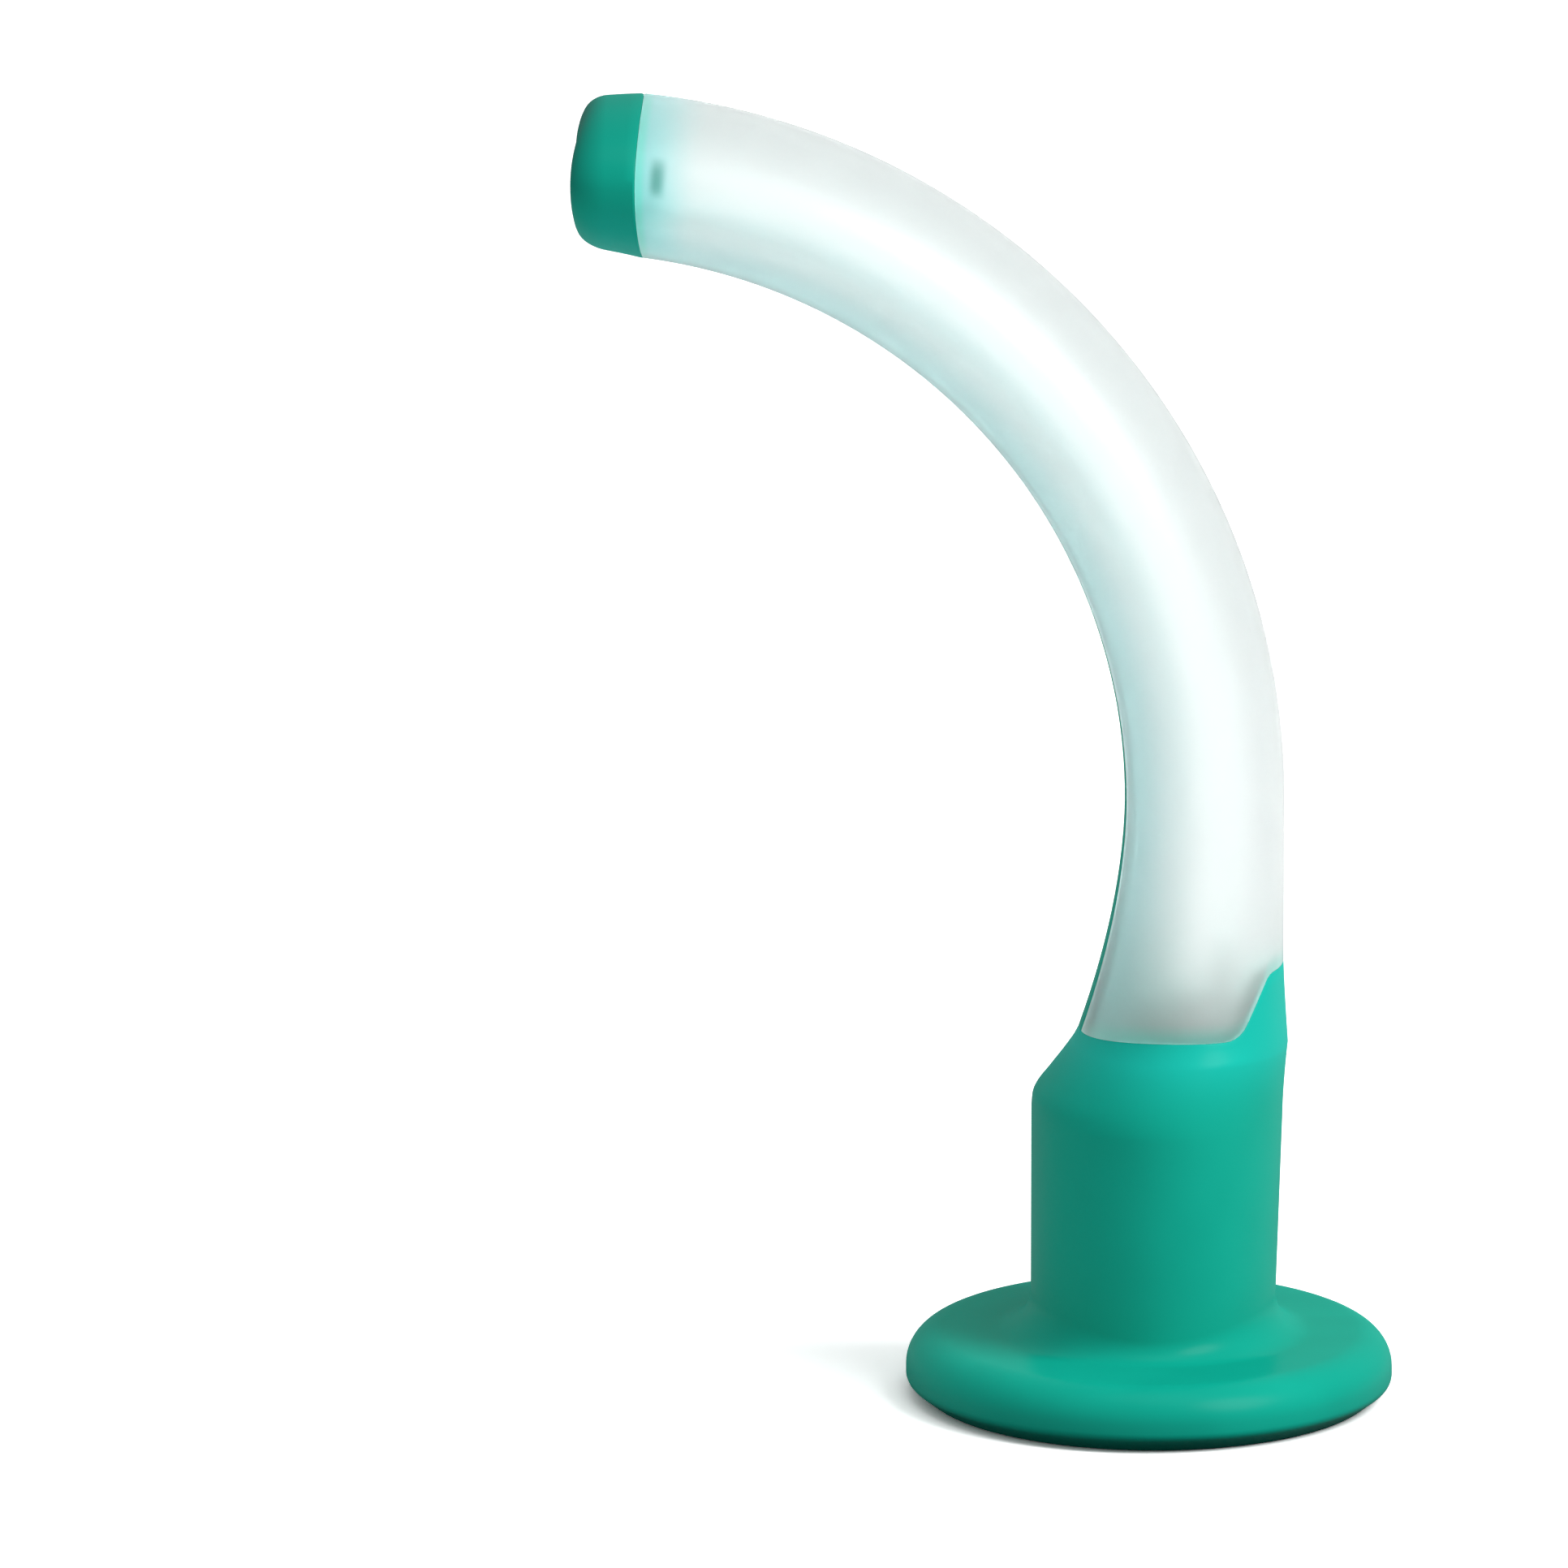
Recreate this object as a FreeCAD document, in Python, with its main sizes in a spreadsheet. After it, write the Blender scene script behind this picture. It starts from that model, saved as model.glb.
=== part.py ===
import FreeCAD, Part
import Sketcher
import os

# Oropharyngeal airway, size 8 (80 mm): a hard translucent tube with a soft green moulding round it.
# Frame: millimetres, +Z up from the flange's front rim, on which the airway stands.
# The tube bends towards -X, and the plane y = 0 is the plane of symmetry.

os.makedirs("parts", exist_ok=True)
doc = FreeCAD.newDocument("oral_airway")
V = FreeCAD.Vector

# Sizes
SIZES = [
    ("flange_long", 41.4, "flange outline across, along Y"),
    ("flange_short", 31.2, "flange outline in the plane of the bend, along X"),
    ("flange_thick", 4.1, "flange height at its rim"),
    ("rim_round", 2.3, "rounding of the rim on the patient's side"),
    ("rim_foot_round", 0.8, "rounding of the rim where it stands"),
    ("bead_width", 1.8, "raised ring round the flange's front"),
    ("bead_depth", 0.5, "how far that ring stands out"),
    ("mouth_long", 18.6, "opening across, along Y"),
    ("mouth_short", 9.6, "opening along X"),
    ("mouth_depth", 4.0, "depth of the funnel, where the hard tube begins"),
    ("throat_step", 0.35, "how far the tube's end shows round the bore"),
    ("funnel_curve", 2.0, "how quickly the funnel narrows"),
    ("block_long", 24.0, "bite block across, along Y"),
    ("block_short", 15.6, "bite block along X at the flange"),
    ("block_shift", 0.2, "bite block's middle from the flange's middle"),
    ("block_lean", 0.5, "how far its convex side leans out by the shoulder"),
    ("block_foot_round", 2.4, "hollow rounding between flange and bite block"),
    ("shoulder_height", 18.4, "where the shoulder leaves the bite block"),
    ("shoulder_top", 22.9, "where the shoulder meets the tube"),
    ("shoulder_step", 0.1, "ledge of the shoulder over the tube"),
    ("cover_height", 24.3, "top of the green sleeve at the sides"),
    ("tongue_height", 29.0, "top of the green tongue on the convex side"),
    ("tongue_start", 2.1, "tongue's foot from the tube's axis"),
    ("tongue_slope", 2.3, "tongue's edge measured along X"),
    ("tongue_round", 1.2, "rounding at the tongue's foot"),
    ("tube_width", 19.0, "tube across, along Y"),
    ("tube_thick", 10.2, "tube in the plane of the bend"),
    ("wall", 1.6, "tube wall"),
    ("skin", 0.8, "depth of the green where it is let into the tube"),
    ("axis_shift", 3.42, "tube's axis from the flange's middle"),
    ("bend_start", 38.5, "height where the bend starts"),
    ("bend_radius", 40.25, "bend radius at the axis"),
    ("bend_turn", 90.0, "angle of the bend in degrees"),
    ("flare_reach", 3.2, "how far the concave side flares out"),
    ("flare_side", 0.6, "how far each side flares out"),
    ("flare_power", 1.8, "how late the flare comes"),
    ("cap_length", 4.5, "green tip along the tube"),
    ("cap_lead", 1.3, "green in front of the tube's end"),
    ("cap_lip", 0.35, "how far the tip's opening is smaller than the bore"),
    ("cap_round", 1.4, "rounding of the tip outside"),
    ("cap_round_inside", 0.35, "rounding of the tip inside"),
    ("stripe_width", 3.5, "green stripe down the concave side"),
    ("window_top", 13.0, "how far up the stripe passes through the wall"),
    ("rib_start", 7.0, "marking ribs from the flange's middle"),
    ("rib_length", 4.6, "length of a rib"),
    ("rib_width", 0.9, "width of a rib"),
    ("rib_pitch", 2.2, "distance between the two ribs"),
    ("rib_rise", 0.3, "height of a rib over the funnel"),
]

# Values that follow from them
FOLLOWING = [
    ("half_thick", "=tube_thick / 2"),
    ("half_width", "=tube_width / 2"),
    ("foot_half_thick", "=half_thick + flare_reach / 2"),
    ("foot_half_width", "=half_width + flare_side"),
    ("foot_middle", "=axis_shift - flare_reach / 2"),
    ("root_half_thick", "=mouth_short / 2 + wall"),
    ("root_half_width", "=mouth_long / 2 + wall"),
    ("throat_half_long", "=mouth_long / 2 + throat_step"),
    ("throat_half_short", "=mouth_short / 2 + throat_step"),
    ("block_base", "=flange_thick - 1"),
    ("bend_middle", "=axis_shift - bend_radius"),
    ("tip_x", "=bend_middle + bend_radius * cos(bend_turn)"),
    ("tip_z", "=bend_start + bend_radius * sin(bend_turn)"),
]

sheet = doc.addObject("Spreadsheet::Sheet", "Sizes")
row = 1
for alias, value, note in SIZES:
    sheet.set(f"A{row}", note)
    sheet.set(f"B{row}", str(value))
    sheet.setAlias(f"B{row}", alias)
    row += 1
for alias, formula in FOLLOWING:
    sheet.set(f"A{row}", alias.replace("_", " "))
    sheet.set(f"B{row}", formula)
    sheet.setAlias(f"B{row}", alias)
    row += 1
doc.recompute()


def size(alias):
    return float(sheet.get(alias))


def named(text):
    """The expression with every name of a size led by the sheet's name."""
    out = ""
    word = ""
    for letter in text + " ":
        if letter.isalnum() or letter in "_.":
            word += letter
            continue
        if word in NAMES:
            word = "Sizes." + word
        out += word + letter
        word = ""
    return out.strip()


NAMES = {entry[0] for entry in SIZES} | {entry[0] for entry in FOLLOWING}


def bind(thing, **expressions):
    """Ties each property to its expression. Two underscores stand for a dot."""
    for prop, text in expressions.items():
        thing.setExpression(prop.replace("__", "."), named(text))


def oval(name, half_width, half_thick, x="0", z="0"):
    """An ellipse lying flat, its long axis along Y."""
    ring = doc.addObject("Part::Ellipse", name)
    ring.Placement = FreeCAD.Placement(V(0, 0, 0), FreeCAD.Rotation(V(0, 0, 1), 90))
    ring.MajorRadius = 10
    ring.MinorRadius = 5
    bind(ring, MajorRadius=half_width, MinorRadius=half_thick)
    bind(ring, Placement__Base__x=x, Placement__Base__z=z)
    return ring


def loft(name, rings, ruled=False):
    skin = doc.addObject("Part::Loft", name)
    skin.Sections = rings
    skin.Solid = True
    skin.Ruled = ruled
    skin.Closed = False
    return skin


def upright(name, ring, height):
    pad = doc.addObject("Part::Extrusion", name)
    pad.Base = ring
    pad.DirMode = "Custom"
    pad.Dir = V(0, 0, 1)
    pad.Solid = True
    bind(pad, LengthFwd=height)
    return pad


def bent(name, ring, turn):
    """The ring carried round the bend's middle."""
    sweep = doc.addObject("Part::Revolution", name)
    sweep.Source = ring
    sweep.Axis = V(0, -1, 0)
    sweep.Solid = True
    sweep.Angle = 90
    bind(sweep, Angle=turn, Base__x="bend_middle", Base__z="bend_start")
    return sweep


def box(name, length, width, height):
    block = doc.addObject("Part::Box", name)
    bind(block, Length=length, Width=width, Height=height)
    return block


def fused(name, things):
    whole = doc.addObject("Part::MultiFuse", name)
    whole.Shapes = things
    whole.Refine = False
    return whole


def cut(name, base, tool):
    rest = doc.addObject("Part::Cut", name)
    rest.Base = base
    rest.Tool = tool
    rest.Refine = False
    return rest


def shared(name, one, other):
    both = doc.addObject("Part::MultiCommon", name)
    both.Shapes = [one, other]
    both.Refine = False
    return both


def body_of(name, thing):
    """A body that carries on from a finished solid, so that its edges can be rounded."""
    body = doc.addObject("PartDesign::Body", name)
    body.BaseFeature = thing
    doc.recompute()
    return body


def rounded(body, name, radius, picks):
    """Rounds each edge of the body's tip that picks says yes to."""
    base = body.Tip
    names = [f"Edge{i + 1}" for i, e in enumerate(base.Shape.Edges) if picks(e)]
    if not names:
        raise RuntimeError(f"{name}: no edge found")
    fillet = body.newObject("PartDesign::Fillet", name)
    fillet.Base = (base, names)
    bind(fillet, Radius=radius)
    body.Tip = fillet
    doc.recompute()
    return fillet


def flat_at(edge, height, reach=None):
    """True for an edge that lies level at this height, and reaches this far along Y if given."""
    b = edge.BoundBox
    level = abs(b.ZMin - height) < 0.02 and abs(b.ZMax - height) < 0.02
    return level and (reach is None or abs(b.YMax - reach) < 0.1)


# The tube's form at three depths: its outside, the bed of the green skin, and the bore
FLARE_STEPS = [0.0, 0.25, 0.5, 0.75, 1.0]


def tube_form(name, depth, turn, longer="0"):
    """The tube filled solid, its surface this far inside the outer one."""
    rings = []
    for k, t in enumerate(FLARE_STEPS):
        grown = f"({t} ^ flare_power)"
        rings.append(oval(
            f"{name}_flare_{k}",
            f"half_width + flare_side * {grown} - {depth}",
            f"half_thick + flare_reach / 2 * {grown} - {depth}",
            f"axis_shift - flare_reach / 2 * {grown}",
            f"bend_start - (bend_start - shoulder_top) * {t}",
        ))
    wide, thick = f"root_half_width - {depth}", f"root_half_thick - {depth}"
    root = oval(f"{name}_root", wide, thick, "0", "mouth_depth")
    parts = [
        bent(f"{name}_arc", rings[0], turn),
        loft(f"{name}_flare", rings),
        loft(f"{name}_low", [rings[-1], root], ruled=True),
    ]
    if longer != "0":
        end = oval(f"{name}_end", wide, thick, "0", f"mouth_depth - {longer}")
        parts.append(upright(f"{name}_mouth", end, longer))
    return fused(name, parts)


outer_form = tube_form("outer_form", "0", "bend_turn")
bed_form = tube_form("bed_form", "skin", "bend_turn + 3")
bore_form = tube_form("bore_form", "wall", "bend_turn + 3", "1")
doc.recompute()

# The hard tube ends a little behind the tip's face, and the green cap reaches further back


def tip_block(name, behind):
    """A block over the tip, from in front of it to this far behind its face."""
    block = box(name, f"{behind} + 5", "tube_width + 8", "tube_thick + 8")
    block.Placement = FreeCAD.Placement(V(0, 0, 0), FreeCAD.Rotation(V(0, 1, 0), 0))
    ahead, up = "(5)", "(tube_thick / 2 + 4)"
    bind(
        block,
        Placement__Rotation__Angle="90 - bend_turn",
        Placement__Base__x=f"tip_x - {ahead} * sin(bend_turn) - {up} * cos(bend_turn)",
        Placement__Base__y="-tube_width / 2 - 4",
        Placement__Base__z=f"tip_z + {ahead} * cos(bend_turn) - {up} * sin(bend_turn)",
    )
    return block


cap_block = tip_block("cap_block", "cap_length")
lead_block = tip_block("lead_block", "cap_lead")

# The tip's opening is a little smaller than the bore
lip_ring = oval(
    "lip_ring", "half_width - wall - cap_lip", "half_thick - wall - cap_lip", "axis_shift", "bend_start"
)
lip_opening = bent("lip_opening", lip_ring, "bend_turn + 3")
bore = cut("bore", bore_form, lead_block)

# The tip's round nose, outside and inside
open_form = cut("open_form", outer_form, lip_opening)
nosed_form = body_of("nosed_form", open_form)


def at_tip(outside):
    """Picks the outer or the inner edge of the tip's face."""
    middle = V(size("tip_x"), 0, size("tip_z"))
    ahead = FreeCAD.Rotation(V(0, 1, 0), 90 - size("bend_turn")).multVec(V(-1, 0, 0))
    reach = size("half_width") if outside else size("half_width") - size("wall") - size("cap_lip")

    def picks(edge):
        level = all(abs((p - middle).dot(ahead)) < 1e-3 for p in edge.discretize(5))
        return level and abs(edge.BoundBox.YMax - reach) < 0.1
    return picks


rounded(nosed_form, "nose_round", "cap_round", at_tip(True))
rounded(nosed_form, "lip_round", "cap_round_inside", at_tip(False))

# Where green lies: below the sleeve's top, at the tip, and down the stripe


def plate(name, corners, width):
    """Straight lines through the corners in the plane of the bend, given width across it."""
    body = doc.addObject("PartDesign::Body", name)
    plane = next(f for f in body.Origin.OriginFeatures if f.Role == "XZ_Plane")
    sketch = body.newObject("Sketcher::SketchObject", f"{name}_outline")
    sketch.AttachmentSupport = (plane, "")
    sketch.MapMode = "FlatFace"
    places = [V(present(x), present(z), 0) for x, z in corners]
    count = len(corners)
    for k in range(count):
        sketch.addGeometry(Part.LineSegment(places[k], places[(k + 1) % count]))
    for k in range(count):
        sketch.addConstraint(Sketcher.Constraint("Coincident", k, 2, (k + 1) % count, 1))
    for k, (x, z) in enumerate(corners):
        across = sketch.addConstraint(Sketcher.Constraint("DistanceX", -1, 1, k, 1, places[k].x))
        sketch.setExpression(f"Constraints[{across}]", named(x))
        up = sketch.addConstraint(Sketcher.Constraint("DistanceY", -1, 1, k, 1, places[k].y))
        sketch.setExpression(f"Constraints[{up}]", named(z))
    pad = body.newObject("PartDesign::Pad", f"{name}_pad")
    pad.Profile = sketch
    pad.SideType = "Symmetric"
    bind(pad, Length=width)
    body.Tip = pad
    doc.recompute()
    return body


def present(text):
    """The present value of an expression."""
    return float(sheet.evalExpression(named(text)))


tongue_foot = "axis_shift + tongue_start"
sleeve_reach = plate("sleeve_reach", [
    ("-flange_long", "-1"),
    ("-flange_long", "cover_height"),
    (tongue_foot, "cover_height"),
    (tongue_foot + " + tongue_slope", "tongue_height"),
    ("flange_long", "tongue_height"),
    ("flange_long", "-1"),
], "2 * flange_long")


def crosswise_at(x, z):
    """Picks the edge that runs along Y through this place."""
    def picks(edge):
        b = edge.BoundBox
        away = max(abs(b.XMin - x), abs(b.XMax - x), abs(b.ZMin - z), abs(b.ZMax - z))
        return b.YLength > 1 and away < 1e-3
    return picks


foot_x = present(tongue_foot)
top_x = present(tongue_foot + " + tongue_slope")
rounded(sleeve_reach, "tongue_foot_round", "tongue_round", crosswise_at(foot_x, size("cover_height")))
rounded(sleeve_reach, "tongue_top_round", "tongue_round", crosswise_at(top_x, size("tongue_height")))


stripe_low = box("stripe_low", "half_thick + flare_reach + 4", "stripe_width", "bend_start + 1")
bind(
    stripe_low,
    Placement__Base__x="axis_shift - half_thick - flare_reach - 4",
    Placement__Base__y="-stripe_width / 2",
    Placement__Base__z="-1",
)
stripe_end = doc.addObject("Part::Plane", "stripe_end")
bind(
    stripe_end,
    Length="half_thick + 1",
    Width="stripe_width",
    Placement__Base__x="axis_shift - half_thick - 1",
    Placement__Base__y="-stripe_width / 2",
    Placement__Base__z="bend_start",
)
stripe_bent = bent("stripe_bent", stripe_end, "bend_turn")
stripe_path = fused("stripe_path", [stripe_low, stripe_bent])
green_reach = fused("green_reach", [sleeve_reach, cap_block, stripe_path])

# The stripe passes through the tube's wall near the mouth
window = box("window", "root_half_thick + 2", "stripe_width", "window_top - mouth_depth + 1")
bind(
    window,
    Placement__Base__x="-root_half_thick - 2",
    Placement__Base__y="-stripe_width / 2",
    Placement__Base__z="mouth_depth - 1",
)

# The hard tube: full thickness where it shows, the bed alone where green lies over it
shown = cut("shown", nosed_form, green_reach)
short_bed = cut("short_bed", bed_form, lead_block)
bed = cut("bed", short_bed, window)
solid_tube = fused("solid_tube", [shown, bed])
tube = cut("airway_tube", solid_tube, bore)
tube.Label = "airway_tube"
doc.recompute()

# Flange and bite block
flange = upright("flange", oval("flange_ring", "flange_long / 2", "flange_short / 2"), "flange_thick")
# The shoulder goes over from the bite block to the tube: how far it has gone at even heights
SHOULDER_STEPS = [0.0, 0.07, 0.33, 0.68, 1.0]
half_head = "(block_short + block_lean) / 2"
head_x = "block_shift + block_lean / 2"
shoulder_rings = []
for k, gone in enumerate(SHOULDER_STEPS):
    shoulder_rings.append(oval(
        f"shoulder_ring_{k}",
        f"block_long / 2 * {1 - gone} + (foot_half_width + shoulder_step) * {gone}",
        f"{half_head} * {1 - gone} + (foot_half_thick + shoulder_step) * {gone}",
        f"({head_x}) * {1 - gone} + foot_middle * {gone}",
        f"shoulder_height + (shoulder_top - shoulder_height) * {k / 4}",
    ))
block_foot = oval("block_foot", "block_long / 2", "block_short / 2", "block_shift", "block_base")
lower_block = loft("lower_block", [block_foot, shoulder_rings[0]], ruled=True)
shoulder = loft("shoulder", shoulder_rings)
block = fused("block", [lower_block, shoulder])
blank = fused("blank", [flange, block])
doc.recompute()
sleeve = body_of("sleeve", blank)
flange_top = size("flange_thick")
rim_reach = size("flange_long") / 2
block_reach = size("block_long") / 2
rounded(sleeve, "block_foot_rounding", "block_foot_round", lambda e: flat_at(e, flange_top, block_reach))
rounded(sleeve, "rim_rounding", "rim_round", lambda e: flat_at(e, flange_top, rim_reach))
rounded(sleeve, "rim_foot_rounding", "rim_foot_round", lambda e: flat_at(e, 0, rim_reach))

# The hollow of the flange's front: a raised ring round it, then a funnel into the bore
recess_ring = oval("recess_ring", "flange_long / 2 - bead_width", "flange_short / 2 - bead_width", "0", "-1")
recess = upright("recess", recess_ring, "bead_depth + 1")
FUNNEL_STEPS = [0.0, 0.15, 0.35, 0.6, 1.0]
funnel_rings = []
for k, t in enumerate(FUNNEL_STEPS):
    left = f"({1 - t} ^ funnel_curve)"
    funnel_rings.append(oval(
        f"funnel_ring_{k}",
        f"throat_half_long + (flange_long / 2 - bead_width - 0.5 - throat_half_long) * {left}",
        f"throat_half_short + (flange_short / 2 - bead_width - 0.5 - throat_half_short) * {left}",
        "0",
        f"bead_depth - 0.05 + (mouth_depth - bead_depth + 0.05) * {t}",
    ))
funnel = loft("funnel", funnel_rings)
front = fused("front", [recess, funnel])

# Two small marking ribs under the opening, left standing when the front is hollowed
ribs = []
for side, name in ((1, "rib_far"), (-1, "rib_near")):
    rib = box(name, "rib_length", "rib_width", "mouth_depth + 1")
    bind(
        rib,
        Placement__Base__x="rib_start",
        Placement__Base__y=f"{side} * rib_pitch / 2 - rib_width / 2",
        Placement__Base__z="-0.5",
    )
    ribs.append(rib)
rib_pair = fused("rib_pair", ribs)
lowered = doc.addObject("Part::Compound", "lowered")
lowered.Links = [front]
bind(lowered, Placement__Base__z="-rib_rise")
rib_tops = cut("rib_tops", rib_pair, lowered)
front_hollow = cut("front_hollow", front, rib_tops)
open_sleeve = cut("open_sleeve", sleeve, front_hollow)

# The soft green moulding: the sleeve and everything let into the tube, less the tube and its bore
let_in = shared("let_in", nosed_form, green_reach)
green = fused("green", [open_sleeve, let_in])
green_shell = cut("green_shell", green, bed)
overmould = cut("soft_overmould", green_shell, bore)
overmould.Label = "soft_overmould"
doc.recompute()

# Check every object, then write the two pieces
for thing in doc.Objects:
    if "Invalid" in thing.State or "Error" in thing.State:
        raise RuntimeError(f"{thing.Name}: {thing.State}")
for piece in (tube, overmould):
    form = piece.Shape
    if form.isNull() or not form.isValid() or len(form.Solids) != 1:
        raise RuntimeError(f"{piece.Label}: not one valid solid, but {form.ShapeType}")
    form.exportStep(f"parts/{piece.Label}.step")
    print(piece.Label, "volume", round(form.Volume, 1), "mm3, box", form.BoundBox)
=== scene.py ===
import math
from itertools import product

import bmesh
import bpy
from bpy.props import FloatProperty, FloatVectorProperty, IntProperty, PointerProperty
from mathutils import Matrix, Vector


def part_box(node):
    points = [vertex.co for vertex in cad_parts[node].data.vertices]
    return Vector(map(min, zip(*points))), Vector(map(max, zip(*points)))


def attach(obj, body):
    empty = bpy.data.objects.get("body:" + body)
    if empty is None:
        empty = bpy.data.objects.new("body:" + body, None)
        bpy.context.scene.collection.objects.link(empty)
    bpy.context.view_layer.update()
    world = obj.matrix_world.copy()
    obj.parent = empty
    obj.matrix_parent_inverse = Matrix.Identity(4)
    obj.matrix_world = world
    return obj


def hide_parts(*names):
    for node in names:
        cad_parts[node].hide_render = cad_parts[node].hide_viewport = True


# Looks of an oropharyngeal airway: a milky oval tube with a soft green moulding round it.
# Metres, +Z up from the rim that the airway stands on. The tube bends towards -X, and y = 0 is
# its mirror plane.

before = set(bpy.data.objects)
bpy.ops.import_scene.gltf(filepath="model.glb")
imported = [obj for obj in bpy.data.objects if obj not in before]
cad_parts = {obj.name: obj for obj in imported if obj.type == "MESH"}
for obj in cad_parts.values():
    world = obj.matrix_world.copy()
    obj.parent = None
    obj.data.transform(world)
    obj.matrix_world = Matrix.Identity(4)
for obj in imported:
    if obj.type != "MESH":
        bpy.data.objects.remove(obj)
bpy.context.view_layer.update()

bl_info = {
    "name": "Oropharyngeal airway",
    "version": (1, 0, 0),
    "blender": (4, 5, 0),
    "location": "3D View > Sidebar > Airway",
    "description": "Builds the clear tube, the green moulding and the stage of an oral airway",
    "category": "Object",
}

MM = 0.001
FLANGE_LOW, FLANGE_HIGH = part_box("soft_overmould")
FLANGE_LONG = FLANGE_HIGH.y - FLANGE_LOW.y
# The tip reaches further towards -X than the flange, so the flange is measured on its +X side
FLANGE_SHORT = 2 * FLANGE_HIGH.x


# Sizes and colours


def length(name, description, mm):
    return FloatProperty(
        name=name, description=description, default=mm * MM, unit="LENGTH", precision=5
    )


def power(name, description, value):
    return FloatProperty(name=name, description=description, default=value, min=0)


def colour(name, description, red, green, blue):
    return FloatVectorProperty(
        name=name, description=description, default=(red, green, blue),
        subtype="COLOR", min=0, max=1,
    )


class TubeSizes(bpy.types.PropertyGroup):
    """The hard tube and what follows its surface."""

    width: length("Width", "Tube across, along Y", 19.0)
    thickness: length("Thickness", "Tube in the plane of the bend", 10.2)
    wall: length("Wall", "Tube wall", 1.6)
    skin: length("Skin", "Depth of the green where it is let into the tube", 0.8)
    axis_shift: length("Axis shift", "Tube's axis from the flange's middle", 3.42)
    bend_start: length("Bend start", "Height where the bend starts", 38.5)
    bend_radius: length("Bend radius", "Bend radius at the axis", 40.25)
    flare_foot: length("Flare foot", "Height where the flare is widest", 22.9)
    flare_reach: length("Flare reach", "How far the concave side flares out", 3.2)
    flare_side: length("Flare side", "How far each side flares out", 0.6)
    flare_power: power("Flare power", "How late the flare comes", 1.8)
    mouth_height: length("Mouth height", "Where the hard tube begins", 4.0)
    mouth_long: length("Mouth length", "Opening across, along Y", 18.6)
    mouth_short: length("Mouth width", "Opening along X", 9.6)
    window_top: length("Window top", "How far up the stripe passes through the wall", 13.0)
    stripe_width: length("Stripe width", "Green stripe down the concave side", 3.5)
    cap_length: length("Cap length", "Green tip along the tube", 4.5)
    cap_lead: length("Cap lead", "Green in front of the tube's end", 1.3)
    cap_lip: length("Cap lip", "How far the tip's opening is smaller than the bore", 0.35)
    cap_bow: length("Cap bow", "How far the tip's edge and face bow at the sides", 0.42)
    cap_tilt: length("Cap tilt", "How much further back the tip's upper edge lies", 0.34)
    cap_taper: length("Cap taper", "How far the tip draws in before its rounding", 0.26)
    cap_nose: length("Cap nose", "Where the tip's rounding begins, from its face", 2.2)
    cap_round: length("Cap rounding", "How far that rounding draws in", 1.05)
    cover_height: length("Cover height", "Top of the green sleeve at the sides", 24.3)
    tongue_height: length("Tongue height", "Top of the green tongue on the convex side", 28.1)
    tongue_start: length("Tongue start", "Tongue's foot from the tube's axis", 2.2)
    tongue_slope: length("Tongue slope", "Tongue's edge measured along X", 1.9)
    tongue_foot_round: length("Tongue foot rounding", "Corner at the foot of that edge", 1.5)
    tongue_round: length("Tongue rounding", "Corner at the top of that edge", 0.6)
    edge_drop: length("Edge drop", "How much lower the sleeve ends on the concave side", 0.6)
    shoulder_step: length("Shoulder step", "Green over the tube at the flare's foot", 0.1)
    shoulder_side: length("Shoulder side", "How much more that is at the sides", 0.45)
    shoulder_convex: length("Shoulder convex", "How much more it is on the convex side", 0.2)
    seam_width: length("Seam width", "Half the fine groove where green meets clear", 0.12)
    seam_depth: length("Seam depth", "Depth of that groove", 0.05)
    fit: length("Fit", "Hair's breadth between the two mouldings", 0.01)


class SleeveSizes(bpy.types.PropertyGroup):
    """The flange and the bite block."""

    flange_long: length("Flange length", "Flange across, along Y", FLANGE_LONG / MM)
    flange_short: length("Flange width", "Flange along X", FLANGE_SHORT / MM)
    flange_thick: length("Flange thickness", "Flange height at its rim", 4.1)
    rim_round: length("Rim rounding", "Rounding of the rim on the patient's side", 2.3)
    rim_foot_height: length("Rim foot height", "Top of the rim's slanting underside", 0.95)
    rim_foot_inward: length("Rim foot inward", "How far in that underside meets the ground", 1.3)
    rim_foot_soft: length("Rim foot softness", "Reach of the rounding above that underside", 0.35)
    bead_width: length("Bead width", "Raised ring round the flange's front", 1.8)
    bead_depth: length("Bead depth", "How far that ring stands out", 0.5)
    throat_step: length("Throat step", "How far the tube's end shows round the bore", 0.35)
    funnel_curve: power("Funnel curve", "How quickly the funnel narrows", 2.0)
    block_long: length("Block length", "Bite block across, along Y", 24.0)
    block_short: length("Block width", "Bite block along X at the flange", 15.6)
    block_shift: length("Block shift", "Bite block's middle from the flange's middle", 0.2)
    block_lean: length("Block lean", "How far its convex side leans out by the shoulder", 0.5)
    block_foot_round: length("Foot rounding", "Hollow round the block's foot, long faces", 2.4)
    block_foot_tight: length("Tight foot rounding", "The same hollow at the narrow ends", 1.4)
    shoulder_height: length("Shoulder height", "Where the shoulder leaves the bite block", 18.4)
    rib_start: length("Rib start", "Marking ribs from the flange's middle", 7.0)
    rib_length: length("Rib length", "Length of a marking rib", 4.6)
    rib_width: length("Rib width", "Width of a marking rib", 0.9)
    rib_pitch: length("Rib pitch", "Distance between the marking ribs", 2.2)
    rib_rise: length("Rib rise", "Height of a rib over the funnel", 0.3)
    rib_count: IntProperty(name="Ribs", description="Number of marking ribs", default=2, min=1)


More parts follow.
